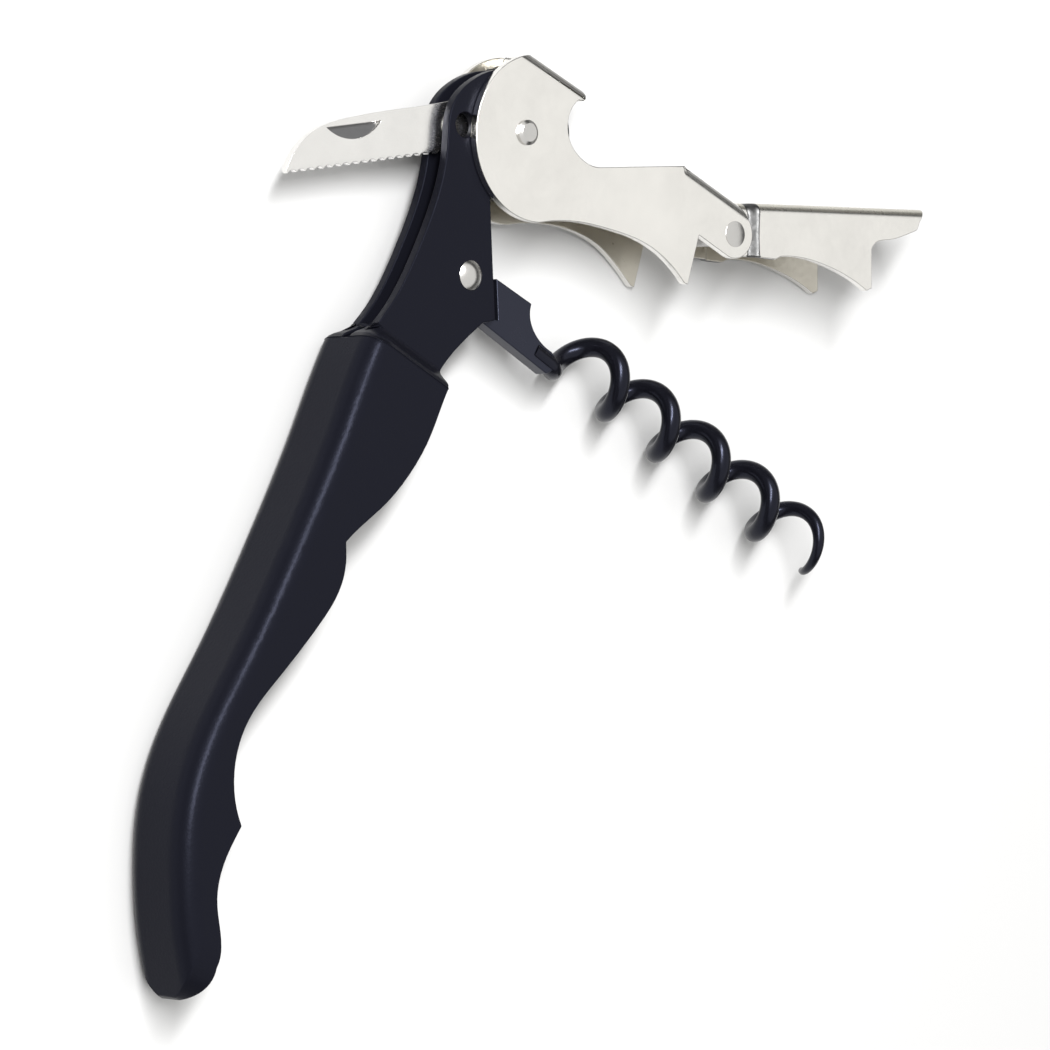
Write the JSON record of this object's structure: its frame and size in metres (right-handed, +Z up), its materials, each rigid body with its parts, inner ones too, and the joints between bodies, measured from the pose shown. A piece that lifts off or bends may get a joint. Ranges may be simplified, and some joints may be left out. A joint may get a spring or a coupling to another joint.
{
  "type": "waiters corkscrew",
  "caption": "Folding double-lever waiter's corkscrew with a coiled worm, serrated foil knife, stepped hinged lever and cap-lifter head.",
  "frame": {"origin": "a point on the grip's lower flat side, on which the tool lies, a little in front of the middle of its length", "axes": "+X along the handle from the butt to the head; +Y towards the handle's back, away from the lever and the worm; +Z up through the rivets"},
  "size_m": [0.1381, 0.0978, 0.011],
  "materials": {
    "black_coat": "black powder coat, slightly grainy, semi-matt",
    "rivet_steel": "plain bright steel",
    "washer_steel": "plain steel",
    "blade_steel": "brushed stainless steel",
    "lever_nickel": "bright nickel plate",
    "bracket_black": "black coat, semi-matt",
    "worm_black": "slick black non-stick coat"
  },
  "bodies": {
    "handle": {"handle_body": "black_coat", "head_rivet": "rivet_steel", "worm_rivet": "rivet_steel", "upper_knife_washer": "washer_steel", "lower_knife_washer": "washer_steel"},
    "lever": {"lever_first_stage": "lever_nickel", "step_rivet": "rivet_steel"},
    "lever_step": {"lever_second_stage": "lever_nickel"},
    "knife": {"foil_knife": "blade_steel"},
    "worm_arm": {"worm_bracket": "bracket_black", "worm": "worm_black"}
  },
  "joints": [
    {"name": "lever_swing", "type": "hinge", "parent": "handle", "child": "lever", "pos_m": [0.045, -0.004, 0.0055], "axis": [0, 0, 1], "range_deg": [-20, 26]},
    {"name": "step_swing", "type": "hinge", "parent": "lever", "child": "lever_step", "pos_m": [0.05107, -0.03791, 0.0055], "axis": [0, 0, 1], "range_deg": [-29.4, 0]},
    {"name": "knife_swing", "type": "hinge", "parent": "handle", "child": "knife", "pos_m": [0.045, -0.004, 0.0055], "axis": [0, 0, 1], "range_deg": [-45, 44]},
    {"name": "worm_swing", "type": "hinge", "parent": "handle", "child": "worm_arm", "pos_m": [0.02615, -0.0052, 0.0055], "axis": [0, 0, 1], "range_deg": [-95, 0]}
  ]
}
